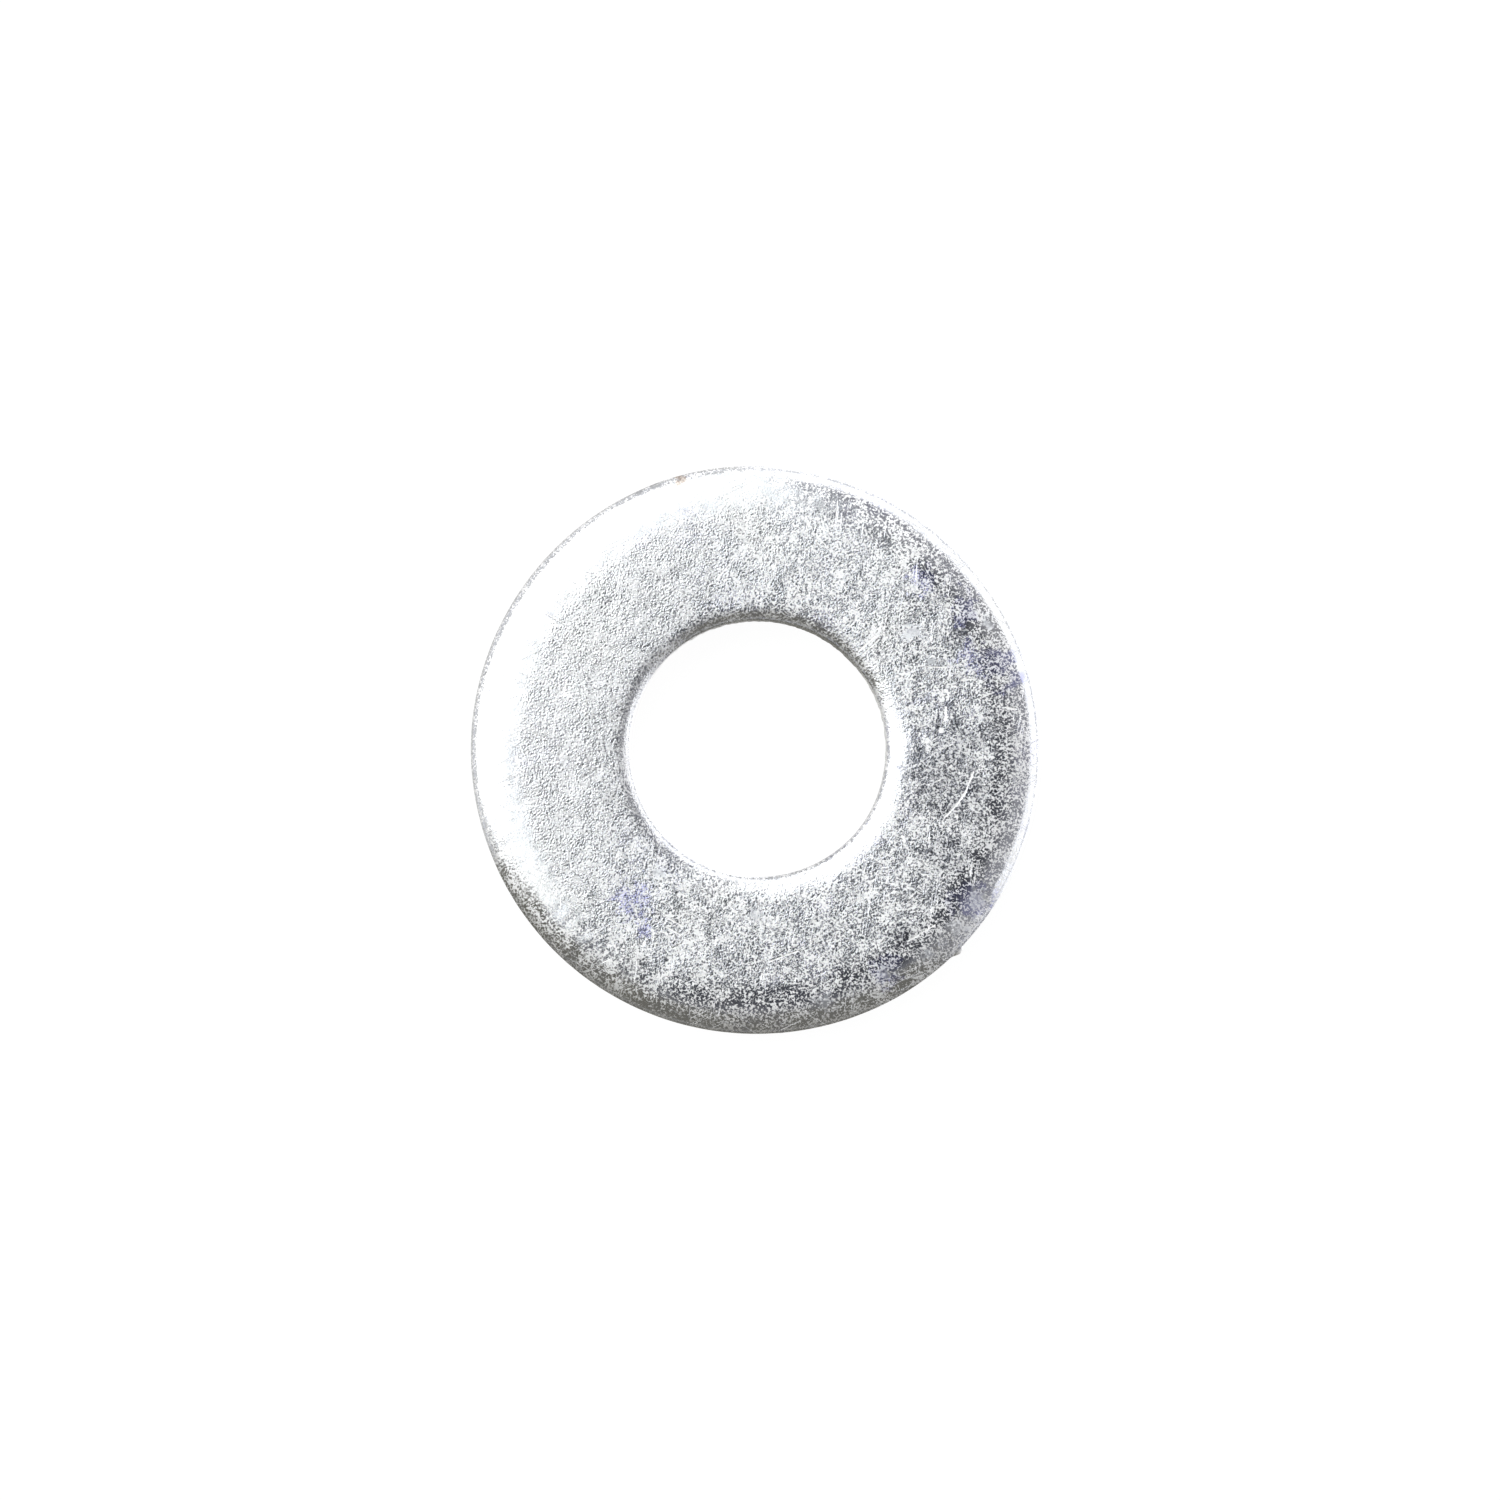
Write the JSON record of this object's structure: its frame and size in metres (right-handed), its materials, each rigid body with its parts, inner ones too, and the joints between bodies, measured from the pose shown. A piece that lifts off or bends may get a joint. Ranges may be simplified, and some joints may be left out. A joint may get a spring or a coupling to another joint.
{
  "type": "flat washer",
  "caption": "Plain round steel washer, zinc plated, with rolled upper edges and a clearance hole for a quarter-inch bolt.",
  "frame": {"origin": "middle of the bolt hole on the lower face, which is the sheared side", "axes": "+Z along the hole's axis, from the lower face to the upper face with the rolled edges; X and Y lie in the lower face"},
  "size_m": [0.0158, 0.0158, 0.0016],
  "materials": {
    "zinc_plate": "bright zinc plate over tumbled sheet steel: a fine random peened speckle, small scratches and faint blue passivate stains"
  },
  "bodies": {
    "root": {"washer": "zinc_plate"}
  },
  "joints": []
}
